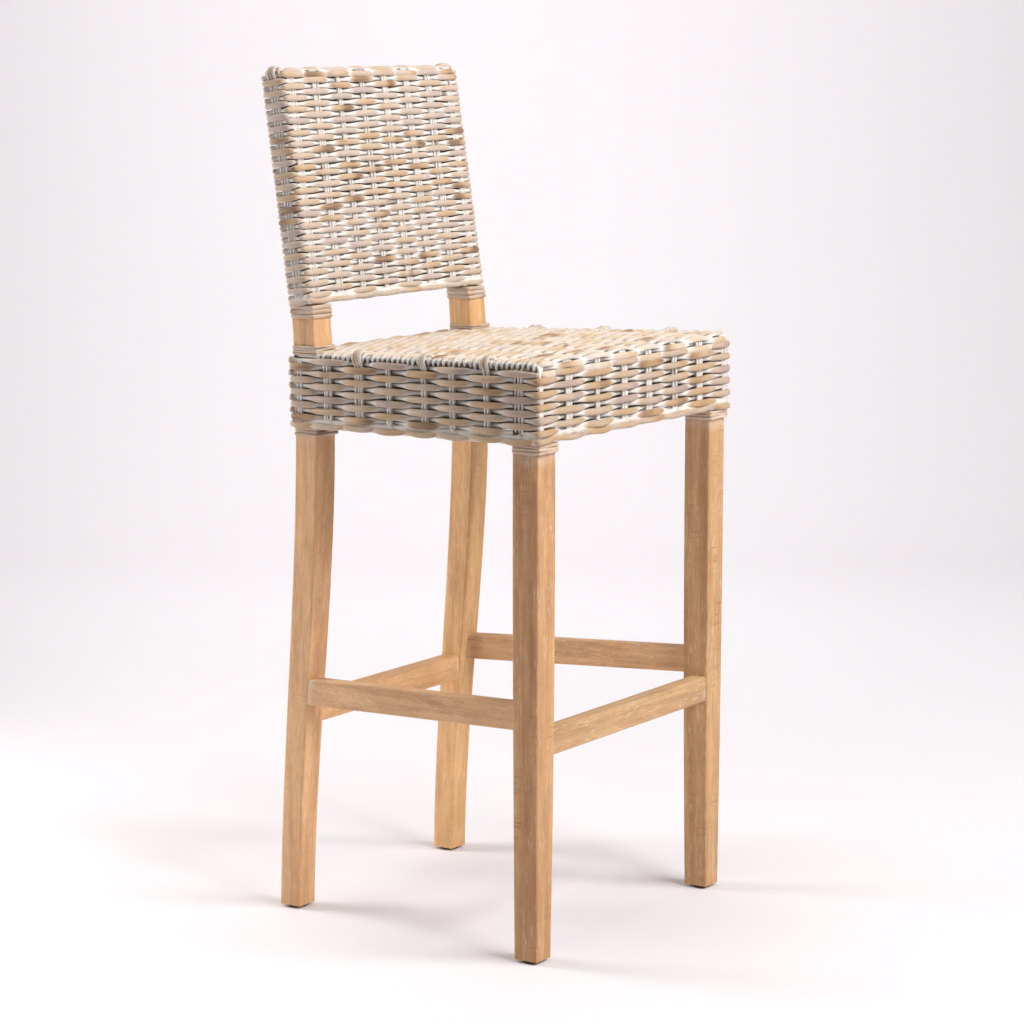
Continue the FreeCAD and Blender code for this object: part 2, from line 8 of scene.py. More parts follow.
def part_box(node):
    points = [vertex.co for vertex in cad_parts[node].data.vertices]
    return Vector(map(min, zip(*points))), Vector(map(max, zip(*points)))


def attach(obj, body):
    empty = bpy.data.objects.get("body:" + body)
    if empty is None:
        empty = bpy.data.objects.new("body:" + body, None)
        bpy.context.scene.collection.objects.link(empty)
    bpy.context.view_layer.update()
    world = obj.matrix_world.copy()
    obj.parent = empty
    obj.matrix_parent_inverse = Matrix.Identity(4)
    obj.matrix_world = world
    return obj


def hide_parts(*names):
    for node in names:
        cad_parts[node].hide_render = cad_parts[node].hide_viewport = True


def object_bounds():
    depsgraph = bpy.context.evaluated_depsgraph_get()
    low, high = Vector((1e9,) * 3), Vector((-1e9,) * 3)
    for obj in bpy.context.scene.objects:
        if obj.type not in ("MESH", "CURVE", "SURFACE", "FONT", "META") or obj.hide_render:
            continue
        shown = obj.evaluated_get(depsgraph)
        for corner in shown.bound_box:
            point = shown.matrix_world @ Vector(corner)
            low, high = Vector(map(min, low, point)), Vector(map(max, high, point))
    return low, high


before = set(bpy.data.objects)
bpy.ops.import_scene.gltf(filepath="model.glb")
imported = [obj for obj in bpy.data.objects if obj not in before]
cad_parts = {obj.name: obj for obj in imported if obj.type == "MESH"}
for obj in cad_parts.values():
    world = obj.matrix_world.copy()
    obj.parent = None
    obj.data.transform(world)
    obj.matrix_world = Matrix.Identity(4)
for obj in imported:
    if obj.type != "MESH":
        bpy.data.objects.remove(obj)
cad_low, cad_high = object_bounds()

MM = 0.001
X, Y, Z = range(3)
RINGS_EVERY = 3.2  # length of strand between two rings of its mesh, mm
CORNER_RADIUS = 8.0  # the rounded upright corners of the seat and of the back, mm
rng = np.random.default_rng(11)


# ------------------------------------------------------------------ measures taken from the CAD frame, in mm
def box_mm(node):
    low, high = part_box(node)
    return np.array(low) / MM, np.array(high) / MM


SEAT_TILT = math.radians(1.15)  # the seat's top falls towards the back
BACK_LEAN = math.radians(8.55)
SEAT_TAPER = 0.8647  # the seat's width at the rear over its width at the front
RIM_STRETCH = 1.02  # the woven wall reaches a little further down than the CAD rim, into the braid
PANEL_DEEP = 42.5
PANEL_SWELL = 2.0  # how far the woven back stands out sideways past its CAD solid

rim_low, rim_high = box_mm("woven_seat_rim")
seat_high = box_mm("woven_seat_top")[1]
seat_border_low = box_mm("woven_seat_border")[0]
SEAT_HALF = rim_high[X] + 0.6
SEAT_REAR_HALF = SEAT_HALF * SEAT_TAPER
SEAT_DROP = (seat_high[Z] - rim_low[Z]) * RIM_STRETCH
SEAT_ORIGIN = (0.0, seat_border_low[Y] + 2.0, seat_high[Z] + 0.1)
SEAT_DEEP = (rim_high[Y] - SEAT_ORIGIN[Y]) / math.cos(SEAT_TILT)

panel_high = box_mm("woven_back")[1]
panel_border_low = box_mm("woven_back_border")[0]
PANEL_HALF = panel_high[X] + PANEL_SWELL
PANEL_ORIGIN = (0.0, panel_border_low[Y], panel_border_low[Z] + PANEL_DEEP * math.sin(BACK_LEAN))
PANEL_TALL = (panel_high[Z] - PANEL_ORIGIN[Z]) / math.cos(BACK_LEAN)


def placed(origin, turn):
    """The matrix from a woven box's own millimetres to the frame's metres."""
    shift = Matrix.Translation(Vector(origin) * MM)
    return np.array(shift @ Matrix.Rotation(turn, 4, "X") @ Matrix.Scale(MM, 4))


SEAT_FRAME = placed(SEAT_ORIGIN, -SEAT_TILT)
PANEL_FRAME = placed(PANEL_ORIGIN, -BACK_LEAN)
WORLD_FRAME = placed((0, 0, 0), 0)


# ------------------------------------------------------------------ strands
def unit(v):
    return v / np.linalg.norm(v, axis=-1, keepdims=True)


def smooth(low, high, x):
    x = np.clip((x - low) / (high - low), 0, 1)
    return x * x * (3 - 2 * x)


def wander(s, length, wavelengths, amount):
    """A slow irregular wave that joins up after `length`."""
    total = np.zeros_like(s)
    for wavelength in wavelengths:
        waves = max(1, round(length / wavelength))
        total += np.sin(2 * math.pi * (s * waves / length + rng.random()))
    return total * amount / len(wavelengths)


def knots(s, length, every):
    """Dark nodes of the cane: 0 on clean cane and up to 1 at a node."""
    dark = np.zeros_like(s)
    for _ in range(rng.poisson(length / every)):
        middle, width = rng.random() * length, rng.uniform(4, 13)
        gap = np.abs((s - middle + length / 2) % length - length / 2)
        dark = np.maximum(dark, rng.uniform(0.25, 1) * np.exp(-((gap / width) ** 4)))
    return dark


class Bundle:
    """Swept strands gathered into one mesh.

    Each vertex keeps where it lies along and across its strand ("run", in metres) and how it looks
    ("look": height above the weave's floor from 0 to 1, tone of the cane, darkness of a knot).
    """

    def __init__(self, matrix, depth, flare=0.0):
        self.matrix = matrix
        self.depth = depth
        self.flare = flare  # how much wider the woven back is at its foot than at its top
        self.points, self.faces, self.run, self.look = [], [], [], []
        self.count = 0

    def strand(self, centre, outward, thick, tall, lift, tone=0.5, dark=0.0, closed=False, sides=10):
        """Sweeps an oval, `thick` along `outward` and `tall` across it (half sizes), along `centre`."""
        n = len(centre)
        thick, tall, lift, tone, dark = (np.broadcast_to(v, n) for v in (thick, tall, lift, tone, dark))
        if closed:
            ahead = np.roll(centre, -1, 0) - np.roll(centre, 1, 0)
        else:
            ahead = np.gradient(centre, axis=0)
            from_end = np.minimum(np.arange(n), np.arange(n)[::-1])
            round_end = np.array([0.45, 0.86, 1.0])[np.minimum(from_end, 2)]
            thick, tall = thick * round_end, tall * round_end
        ahead = unit(ahead)
        across = unit(np.cross(ahead, outward))
        out = np.cross(across, ahead)
        turn = np.arange(sides) * 2 * math.pi / sides
        a = thick[:, None] * np.cos(turn)
        b = tall[:, None] * np.sin(turn)
        ring = centre[:, None] + a[..., None] * out[:, None] + b[..., None] * across[:, None]
        along = np.cumsum(np.r_[0, np.linalg.norm(np.diff(centre, axis=0), axis=1)])
        along = along[:, None] + np.zeros(sides) + rng.random() * 5000
        self.points.append(ring.reshape(-1, 3))
        self.run.append(np.stack([along, a, b], -1).reshape(-1, 3) * MM)
        rise = 1 + (lift[:, None] + a) / self.depth
        flat = np.zeros(sides)
        self.look.append(np.stack([rise, tone[:, None] + flat, dark[:, None] + flat], -1).reshape(-1, 3))
        i = np.arange(n if closed else n - 1)[:, None]
        j = np.arange(sides)[None]
        here, there = i * sides, (i + 1) % n * sides
        after = (j + 1) % sides
        quads = np.stack([here + j, here + after, there + after, there + j], -1).reshape(-1, 4)
        self.faces += (quads + self.count).tolist()
        if not closed:
            self.faces.append([self.count + k for k in range(sides)][::-1])
            self.faces.append([self.count + (n - 1) * sides + k for k in range(sides)])
        self.count += n * sides

    def build(self, name, material, slot, *nodes):
        points = np.concatenate(self.points)
        points[:, X] *= 1 + self.flare * np.clip(1 - points[:, Z] / PANEL_TALL, 0, 1)
        points = points @ self.matrix[:3, :3].T + self.matrix[:3, 3]
        mesh = bpy.data.meshes.new(name)
        mesh.from_pydata(points.tolist(), [], self.faces)
        for attribute, values in (("run", self.run), ("look", self.look)):
            layer = mesh.attributes.new(attribute, "FLOAT_VECTOR", "POINT")
            layer.data.foreach_set("vector", np.concatenate(values).astype(np.float32).ravel())
        mesh.shade_smooth()
        mesh.materials.append(material)
        piece = bpy.data.objects.new(name, mesh)
        bpy.context.scene.collection.objects.link(piece)
        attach(piece, "root")
        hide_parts(*nodes)
        return piece


# ------------------------------------------------------------------ surfaces that the weave lies on
class Loop:
    """An upright woven wall that closes on itself: `s` runs round it, counterclockwise from above."""

    CORNER_POINTS = 10

    def __init__(self, corners, radius):
        corners = np.array(corners, float)
        points, normals = [], []
        for before, here, after in zip(np.roll(corners, 1, 0), corners, np.roll(corners, -1, 0)):
            back, ahead = unit(before - here), unit(after - here)
            half = math.acos(np.dot(back, ahead)) / 2
            middle = here + unit(back + ahead) * radius / math.sin(half)
            start = here + back * radius / math.tan(half) - middle
            angle = math.atan2(start[1], start[0]) + np.linspace(0, math.pi - 2 * half, self.CORNER_POINTS)
            normal = np.stack([np.cos(angle), np.sin(angle)], -1)
            points.append(middle + radius * normal)
            normals.append(normal)
        self.points = np.concatenate(points + [points[0][:1]])
        self.normals = np.concatenate(normals + [normals[0][:1]])
        self.marks = np.r_[0, np.cumsum(np.linalg.norm(np.diff(self.points, axis=0), axis=1))]
        self.length = self.marks[-1]
        self.corners = np.array([self.where(x, y) for x, y in corners])

    def at(self, s):
        s = np.mod(s, self.length)
        point = np.stack([np.interp(s, self.marks, self.points[:, k]) for k in (0, 1)], -1)
        normal = np.stack([np.interp(s, self.marks, self.normals[:, k]) for k in (0, 1)], -1)
        return point, unit(normal)

    def where(self, x, y):
        """How far round the wall the point nearest to (x, y) is."""
        s = np.arange(0, self.length, 0.5)
        return s[np.argmin(np.linalg.norm(self.at(s)[0] - (x, y), axis=1))]

    def from_corner(self, s):
        gap = np.abs(np.mod(s, self.length)[:, None] - self.corners[None])
        return np.minimum(gap, self.length - gap).min(1)

    def place(self, s, height, lift):
        point, normal = self.at(s)
        point = point + normal * lift[:, None]
        flat = np.zeros(len(s))
        return np.column_stack([point, height]), np.column_stack([normal, flat])


class Cover:
    """The woven top of a box, which rounds over all four edges and turns down.

    `x` runs across and `y` from the middle towards the rear, both measured along the surface.
    """

    def __init__(self, half, inset, side_edge, half_deep, edge, height, crown=0.0, fall=0.0):
        self.half, self.inset, self.side_edge = half, inset, side_edge
        self.half_deep, self.edge, self.height = half_deep, edge, height
        self.crown, self.fall = crown, fall
        self.foot = half_deep + edge * (math.pi / 2 - 1) + height

    @staticmethod
    def over_edge(x, half, edge):
        """Flat as far as the edge, round it and down: how far out, how far down, and the slope."""
        beyond = np.clip(np.abs(x) - (half - edge), 0, None)
        slope = np.clip(beyond / edge, 0, math.pi / 2)
        out = np.minimum(np.abs(x), half - edge) + edge * np.sin(slope)
        down = edge * (1 - np.cos(slope)) + np.clip(beyond - edge * math.pi / 2, 0, None)
        return np.sign(x) * out, down, np.sign(x) * slope

    def row(self, y):
        """How far back a strand across the cover lies, the half width there, and the slope."""
        back, _, slope = self.over_edge(np.asarray(y, float), self.half_deep, self.edge)
        back = back + self.half_deep
        return back, self.half(back) - self.inset, np.abs(slope)

    def side_turn(self, half):
        """Where the turned-down part of a strand starts to run straight down."""
        return half + self.side_edge * (math.pi / 2 - 1)

    def place(self, x, y, lift):
        x, y, lift = np.broadcast_arrays(x, y, lift)
        back, down_y, slope_y = self.over_edge(y, self.half_deep, self.edge)
        half = self.half(back + self.half_deep) - self.inset
        out, down_x, slope_x = self.over_edge(x, half, self.side_edge)
        bulge = self.crown * np.clip(1 - (out / half) ** 2, 0, 1)
        bulge = bulge * np.clip(1 - (back / self.half_deep) ** 2, 0, 1)
        normal = unit(
            np.stack([np.sin(slope_x), np.sin(slope_y), np.cos(slope_x) * np.cos(slope_y) + 0.001], -1)
        )
        top = self.height + bulge - self.fall * back / self.half_deep
        point = np.stack([out, back + self.half_deep, top - down_x - down_y], -1)
        return point + normal * lift[:, None], normal


def over_under(s, stakes, length=None):
    """1 at even stake groups, -1 at odd ones and a smooth pass between; closed if length is given."""
    if length:
        s = np.mod(s, length)
        stakes = np.r_[stakes[-1] - length, stakes, stakes[0] + length]
    else:
        stakes = np.r_[2 * stakes[0] - stakes[1], stakes, 2 * stakes[-1] - stakes[-2]]
    i = np.clip(np.searchsorted(stakes, s, side="right") - 1, 0, len(stakes) - 2)
    part = np.clip((s - stakes[i]) / (stakes[i + 1] - stakes[i]), 0, 1)
    wave = np.cos(math.pi * part) * np.where(i % 2 == 1, 1, -1)
    return np.tanh(0.8 * wave) / math.tanh(0.8)


class Weave:
    """The measures of one woven wall, in mm.

    `thick` and `tall` are half sizes of a weaver and `stake` the radius of a stake cane. `swing` is how
    far a weaver dives behind a stake group, less at a corner, and `stake_lift` is where the stakes stand.
    """

    def __init__(self, thick, tall, swing, swing_at_corner, stake, stake_lift, stake_pitch):
        self.thick, self.tall, self.swing, self.swing_at_corner = thick, tall, swing, swing_at_corner
        self.stake, self.stake_lift, self.stake_pitch = stake, stake_lift, stake_pitch
        self.depth = 2 * thick + swing


RIM = Weave(3.0, 4.5, swing=8.0, swing_at_corner=5.4, stake=2.35, stake_lift=-7.2, stake_pitch=5.0)
PANEL = Weave(2.7, 4.1, swing=6.6, swing_at_corner=5.0, stake=2.15, stake_lift=-6.4, stake_pitch=4.7)


def cane_look(s, length, base, wavelengths=(620, 260, 120, 75), amount=0.5, knot_every=900):
    """Tone and knots along a strand, which starts from the tone `base`."""
    tone = base + wander(s, length, wavelengths, amount)
    return np.clip(tone, 0, 1), knots(s, length, knot_every)


def profile(weave, wave):
    """Lift and half sizes of a strand: full where it shows, pinched where it dives."""
    lift = -weave.thick - weave.swing * (1 - wave) / 2
    thick = weave.thick * (0.9 + 0.1 * wave) * rng.uniform(0.94, 1.05)
    tall = weave.tall * (0.66 + 0.36 * smooth(-0.6, 0.8, wave)) * rng.uniform(0.93, 1.06)
    return lift, thick, tall


def loop_row(bundle, loop, weave, stakes, height, parity):
    """One strand all the way round a wall."""
    n = int(loop.length / RINGS_EVERY)
    s = np.arange(n) * loop.length / n
    wave = over_under(s, stakes + rng.normal(0, 0.8, len(stakes)), loop.length) * (1 - 2 * parity)
    lift, thick, tall = profile(weave, wave)
    from_corner = loop.from_corner(s)
    near = 1 - smooth(38, 62, from_corner)
    lift = lift + near * (weave.swing - weave.swing_at_corner) * (1 - wave) / 2
    turning = np.exp(-((from_corner / 11) ** 2))
    lift = lift + turning * 0.4 * (-weave.thick - 0.4 - lift)
    lift = lift + wander(s, loop.length, (90, 55), 0.35)
    height = height + wander(s, loop.length, (420, 170, 75), 0.7)
    centre, outward = loop.place(s, height, lift)
    tone, dark = cane_look(s, loop.length, rng.uniform(0.2, 0.8))
    bundle.strand(centre, outward, thick, tall, lift, tone, dark, closed=True)


def bands(rows, size):
    """Rows shared out over several meshes, with at most `size` rows in each, counted from 1."""
    return enumerate((range(first, min(first + size, rows)) for first in range(0, rows, size)), start=1)


def group_sizes(count):
    """How many canes stand in each stake group."""
    sizes = rng.choice([2, 3, 3], count)
    sizes[[0, -1]] = 3
    return sizes


def canes(count, pitch):
    """Sideways places of the canes of one group, with a little play."""
    return (np.arange(count) - (count - 1) / 2) * pitch + rng.normal(0, 0.25, count)


def border(bundle, loop, weave, stakes, height, drop, sag=0.0):
    """Two strands twined over a core along the foot of the wall, with the stake ends laid behind them."""

    def level(s):
        return height - sag * np.abs(loop.at(s)[1][:, X])

    n = int(loop.length / RINGS_EVERY)
    s = np.arange(n) * loop.length / n
    for parity in (0, 1):
        wave = over_under(s, stakes, loop.length) * (1 - 2 * parity)
        lift = -weave.thick * 0.95 - weave.swing * 0.5 * (1 - wave) / 2
        low = level(s) - drop * (0.5 + 0.5 * wave) - parity * 0.6 + wander(s, loop.length, (170, 70), 0.8)
        centre, outward = loop.place(s, low, lift)
        tall = weave.tall * (0.72 + 0.16 * smooth(-0.4, 0.8, wave))
        tone, dark = cane_look(s, loop.length, 0.5)
        bundle.strand(centre, outward, weave.thick * 0.85, tall, lift - 1.2, tone, dark, closed=True)
    lift = -weave.thick * 0.8 - weave.swing * 0.55 + wander(s, loop.length, (120, 70), 0.3)
    centre, outward = loop.place(s, level(s) + wander(s, loop.length, (150, 90), 0.5), lift)
    bundle.strand(centre, outward, weave.thick * 0.8, weave.tall * 0.9, lift - 1.5, 0.4, closed=True)
    count = len(stakes)
    for i in range(count):
        span = (stakes[(i + 1) % count] - stakes[i]) % loop.length
        for cane in range(2):
            u = np.linspace(0, 1, 22)
            s = stakes[i] + u * (span + 12) + cane * 5 - 4
            lift = weave.stake_lift + 1.6 * np.sin(math.pi * u) - 1.2 * cane
            low = level(s) + 3.4 - (drop + 2.4 + 2.2 * cane) * smooth(0, 0.35, u) + 3.2 * smooth(0.6, 1, u)
            centre, outward = loop.place(s, low, lift)
            tone, dark = cane_look(u, 1.0, rng.uniform(0.1, 0.9), (1, 0.4), 0.2, 30)
            bundle.strand(centre, outward, weave.stake, weave.stake * 1.1, lift, tone, dark)


def lap(x, turn, marks, flush):
    """The lift of a stake that laps in over the edge and then drops down the wall.

    `marks` pairs places, measured from where the edge turns down, with lifts; `flush` is the wall's.
    """
    places, lifts = zip(*marks, (9, flush))
    return np.interp(x, turn + np.array(places), lifts)


def stake(bundle, weave, cover, x, y, lift, seen, look):
    """One stake cane laid over a cover; `seen` is the height that its finish takes it to have, which sets its
    whitewash and its painted shade.
    """
    centre, outward = cover.place(x, y, lift)
    bundle.strand(centre, outward, weave.stake, weave.stake, seen, *look, sides=8)


# ------------------------------------------------------------------ materials
def colour(code):
    """A colour code such as "c9a77d" as linear light."""
    parts = [int(code[k : k + 2], 16) / 255 for k in (0, 2, 4)]
    return tuple(c / 12.92 if c <= 0.04045 else ((c + 0.055) / 1.055) ** 2.4 for c in parts) + (1.0,)


class Finish:
    """A node material being put together."""

    def __init__(self, name, specular):
        self.material = bpy.data.materials.new(name)
        self.material.use_nodes = True
        self.tree = self.material.node_tree
        self.shader = self.tree.nodes["Principled BSDF"]
        self.shader.inputs["Specular IOR Level"].default_value = specular

    def node(self, kind, inputs=None, **settings):
        made = self.tree.nodes.new("ShaderNode" + kind)
        for key, value in settings.items():
            setattr(made, key, value)
        for key, value in (inputs or {}).items():
            if isinstance(value, bpy.types.NodeSocket):
                self.tree.links.new(value, made.inputs[key])
            else:
                made.inputs[key].default_value = value
        return made

    def maths(self, operation, a, b):
        return self.node("Math", {0: a, 1: b}, operation=operation).outputs[0]

    def stretched(self, vector, scale):
        return self.node("VectorMath", {0: vector, 1: scale}, operation="MULTIPLY").outputs[0]

    def noise(self, vector, scale, detail=3.0, rough=0.55):
        where = self.stretched(vector, scale)
        inputs = {"Vector": where, "Scale": 1.0, "Detail": detail, "Roughness": rough}
        return self.node("TexNoise", inputs).outputs["Fac"]

    def between(self, value, low, high, to_low=0.0, to_high=1.0):
        inputs = {"Value": value, 1: low, 2: high, 3: to_low, 4: to_high}
        return self.node("MapRange", inputs, interpolation_type="SMOOTHSTEP").outputs[0]

    def ramp(self, value, stops):
        made = self.node("ValToRGB", {"Fac": value})
        elements = made.color_ramp.elements
        while len(elements) < len(stops):
            elements.new(0.5)
        for element, (place, code) in zip(elements, stops):
            element.position = place
            element.color = colour(code)
        return made.outputs["Color"]

    def mix(self, amount, a, b, mode="MIX"):
        made = self.node("Mix", data_type="RGBA", blend_type=mode)
        for key, value in ((0, amount), (6, a), (7, b)):
            if isinstance(value, str):
                value = colour(value)
            if isinstance(value, bpy.types.NodeSocket):
                self.tree.links.new(value, made.inputs[key])
            else:
                made.inputs[key].default_value = value
        return made.outputs[2]

    def link(self, value, name):
        self.tree.links.new(value, self.shader.inputs[name])

    def bump(self, height, distance, strength=1.0):
        inputs = {"Height": height, "Distance": distance, "Strength": strength}
        self.link(self.node("Bump", inputs).outputs["Normal"], "Normal")


def cane_finish(name, stops, wash, wash_from, wash_to, lit=0.52):
    """Kubu cane: whitewash left in the hollows, sanded off on what stands proud, dark at the nodes, and
    painted shade low in the weave.

    `lit` is the height above the weave's floor from which no painted shade darkens it.
    """
    f = Finish(name, 0.38)
    run = f.node("Attribute", attribute_name="run").outputs["Vector"]
    look = f.node("Attribute", attribute_name="look").outputs["Vector"]
    parts = f.node("SeparateXYZ", {0: look})
    rise, tone, dark = parts.outputs
    fibre = f.noise(run, (70, 1500, 1500), 4.0)
    streak = f.noise(run, (22, 420, 420), 3.0)
    patch = f.noise(run, (45, 90, 90), 2.0)
    shade = f.maths("ADD", tone, f.maths("MULTIPLY", f.maths("SUBTRACT", streak, 0.5), 0.55))
    base = f.ramp(shade, stops)
    worn = f.maths("ADD", rise, f.maths("MULTIPLY", f.maths("SUBTRACT", patch, 0.5), 0.22))
    worn = f.maths("ADD", worn, f.maths("MULTIPLY", f.maths("SUBTRACT", fibre, 0.5), 0.16))
    bare = f.between(worn, wash_from, wash_to)
    body = f.mix(bare, wash, base)
    node = f.maths("MULTIPLY", dark, f.between(streak, 0.3, 0.55))
    body = f.mix(f.maths("MULTIPLY", node, 0.85), body, "6b4327")
    grain = f.between(fibre, 0.3, 0.7, 0.86, 1.06)
    # painted shade: the lower a strand lies in the weave, below `lit`, the darker its colour is painted
    deep = f.between(rise, 0.06, lit, 0.24, 1.0)
    body = f.mix(1.0, body, f.maths("MULTIPLY", grain, deep), "MULTIPLY")
    f.link(body, "Base Color")
    f.link(f.between(streak, 0.2, 0.8, 0.5, 0.7), "Roughness")
    f.bump(f.maths("ADD", fibre, f.maths("MULTIPLY", streak, 0.6)), 0.0005, 0.5)
    return f.material


def wood_finish(name, grain, dark, light, pale=(), saw=0.0, shift=0.0, painted_shade_bands=()):
    """Solid light wood with its grain along axis `grain`.

    `pale` lists bands of white residue, each an axis, a middle, a reach and a strength. `saw` is how
    strong the marks of the saw are, `shift` moves the pattern, and the last argument lists the heights
    hidden by the weave, which get painted shade in dark brown.
    """
    f = Finish(name, 0.3)
    place = f.node("TexCoord").outputs["Object"]
    where = f.node("VectorMath", {0: place, 1: (shift, shift * 1.7, shift * 0.6)}, operation="ADD").outputs[0]

    def scaled(along, across):
        return tuple(along if axis == grain else across for axis in range(3))

    figure = f.noise(where, scaled(2.6, 38), 3.0)
    streak = f.noise(where, scaled(7, 160), 4.0, 0.6)
    fibre = f.noise(where, scaled(45, 1500), 4.0, 0.6)
    pore = f.noise(where, scaled(130, 2300), 2.0)
    mottle = f.noise(where, scaled(30, 60), 3.0)
    shade = f.maths("ADD", f.maths("MULTIPLY", figure, 0.55), f.maths("MULTIPLY", streak, 0.45))
    body = f.ramp(f.between(shade, 0.29, 0.70), ((0.0, dark), (1.0, light)))
    body = f.mix(1.0, body, f.between(fibre, 0.25, 0.75, 0.84, 1.1), "MULTIPLY")
    body = f.mix(1.0, body, f.between(mottle, 0.3, 0.7, 0.93, 1.05), "MULTIPLY")
    body = f.mix(f.between(pore, 0.62, 0.74, 0.0, 0.4), body, "7d5230")
    lime = f.noise(where, scaled(60, 620), 3.0, 0.6)
    rubbed = f.between(f.noise(where, scaled(14, 45), 2.0), 0.36, 0.62)
    body = f.mix(f.maths("MULTIPLY", f.between(lime, 0.53, 0.68, 0.0, 0.36), rubbed), body, "f0e0ca")
    height = f.maths("ADD", f.maths("MULTIPLY", fibre, 0.6), f.maths("MULTIPLY", pore, -0.5))
    if saw:
        marks = f.noise(where, scaled(420, 18), 2.0)
        patches = f.between(f.noise(where, scaled(9, 30), 1.0), 0.45, 0.65)
        lines = f.maths("MULTIPLY", f.between(marks, 0.56, 0.72), patches)
        body = f.mix(f.maths("MULTIPLY", lines, saw), body, "a06f45")
        height = f.maths("SUBTRACT", height, f.maths("MULTIPLY", lines, 0.8))
    position = f.node("SeparateXYZ", {0: place}).outputs
    for axis, middle, reach, strength in pale:
        away = f.maths("ABSOLUTE", f.maths("SUBTRACT", position[axis], middle), 0.0)
        ragged = f.maths("ADD", away, f.maths("MULTIPLY", f.maths("SUBTRACT", mottle, 0.5), reach * 1.4))
        amount = f.between(ragged, reach * 0.35, reach, strength, 0.0)
        body = f.mix(amount, body, "e6dccf")
    # painted shade: the wood inside the weave is painted dark brown where the weave shades it
    for low, high in painted_shade_bands:
        above = f.between(position[Z], low, low + 0.004)
        below = f.between(position[Z], high, high - 0.004)
        body = f.mix(f.maths("MULTIPLY", above, below), body, "4d3a2b")
    f.link(body, "Base Color")
    f.link(f.between(fibre, 0.2, 0.8, 0.52, 0.68), "Roughness")
    f.bump(height, 0.0004, 0.6)
    return f.material


def plain_finish(name, code, specular, roughness, metallic=0.0):
    """Moulded plastic or steel: nearly even, with a fine worn grain."""
    f = Finish(name, specular)
    where = f.node("TexCoord").outputs["Object"]
    grain = f.noise(where, (900, 900, 900), 3.0)
    f.link(f.mix(1.0, code, f.between(grain, 0.3, 0.7, 0.8, 1.15), "MULTIPLY"), "Base Color")
    f.link(f.between(grain, 0.3, 0.7, roughness - 0.08, roughness + 0.08), "Roughness")
    f.shader.inputs["Metallic"].default_value = metallic
    f.bump(grain, 0.0002, 0.4)
    return f.material


# Cane tones from the palest strand to the darkest
RIM_TONES = ((0.0, "ac958a"), (0.25, "bfa894"), (0.5, "bca285"), (0.75, "ba966e"), (1.0, "8c6e55"))
TOP_TONES = ((0.0, "c9b7ae"), (0.3, "d6c7b8"), (0.55, "d2bfa8"), (0.8, "c9ac8b"), (1.0, "98795f"))
PANEL_TONES = ((0.0, "bfaba2"), (0.3, "cbb7a8"), (0.55, "cab299"), (0.8, "c5a582"), (1.0, "8f7058"))
STAKE_TONES = ((0.0, "cbbfb3"), (0.5, "cfc0ae"), (1.0, "ab9379"))
WRAP_TONES = ((0.0, "c8ae99"), (0.5, "d0b59b"), (1.0, "b3937a"))
rim_cane = cane_finish("rattan_rim", RIM_TONES, "dfd7cf", 0.56, 0.80)
top_cane = cane_finish("rattan_top", TOP_TONES, "efe9e4", 0.60, 0.84, 0.80)
panel_cane = cane_finish("rattan_panel", PANEL_TONES, "ece5de", 0.58, 0.82)
stake_cane = cane_finish("rattan_stakes", STAKE_TONES, "e8e1da", 0.58, 0.95)
wrap_cane = cane_finish("cane_wraps", WRAP_TONES, "ddd3c8", 0.55, 0.95)


# ------------------------------------------------------------------ the seat
ROWS = 10
ROW = 8.1  # from one strand of the wall to the next
FIRST_ROW = -12.4  # the wall's uppermost strand, from the top of the seat
TOP_ROWS = 54
FACE_GROUPS = 8  # stake groups on each face of the seat and of the back
FACE_REACH = 0.949  # the outermost groups on the seat's front and rear, as a share of the half width
SIDE_PITCH = 52.4  # from one stake group to the next along the seat's sides
SIDE_LAST = 17  # from the rear face to the last of those groups
LAP_STARTS = -28  # where the side stakes that lap over the top begin, from the turned-down edge
FOOT_SAG = 2.0  # how much lower the sides of the seat's border hang


def seat_half(y):
    return SEAT_HALF + (SEAT_REAR_HALF - SEAT_HALF) * np.clip(y, 0, SEAT_DEEP) / SEAT_DEEP


seat_plan = [(-SEAT_HALF, 0), (SEAT_HALF, 0), (SEAT_REAR_HALF, SEAT_DEEP), (-SEAT_REAR_HALF, SEAT_DEEP)]
seat_wall = Loop(seat_plan, CORNER_RADIUS)
seat_cover = Cover(
    seat_half, inset=3.5, side_edge=8.0, half_deep=SEAT_DEEP / 2, edge=12.0, height=3.2, crown=4.5, fall=2.8
)
post_front = (box_mm("post_binding_left")[0][Y] - SEAT_ORIGIN[Y]) / math.cos(SEAT_TILT)
post_inside = box_mm("post_binding_right")[0][X]
face_places = np.linspace(-FACE_REACH, FACE_REACH, FACE_GROUPS)
face_places[1:-1] += rng.normal(0, 0.012, FACE_GROUPS - 2)
side_places = SEAT_DEEP - SIDE_LAST - np.arange(FACE_GROUPS) * SIDE_PITCH
side_places[1:] += rng.normal(0, 2.0, FACE_GROUPS - 1)
seat_groups = (
    [(u * SEAT_HALF, 0) for u in face_places]
    + [(seat_half(y), y) for y in side_places[::-1]]
    + [(u * SEAT_REAR_HALF, SEAT_DEEP) for u in face_places[::-1]]
    + [(-seat_half(y), y) for y in side_places]
)
seat_stakes = np.array([seat_wall.where(x, y) for x, y in seat_groups])


def seat_rim():
    """The weavers round the seat's four sides."""
    for band, rows in bands(ROWS, 5):
        bundle = Bundle(SEAT_FRAME, RIM.depth)
        for row in rows:
            loop_row(bundle, seat_wall, RIM, seat_stakes, FIRST_ROW - row * ROW, (row + 1) % 2)
        bundle.build(f"seat_rim_weavers_{band}", rim_cane, "rattan", "woven_seat_rim")


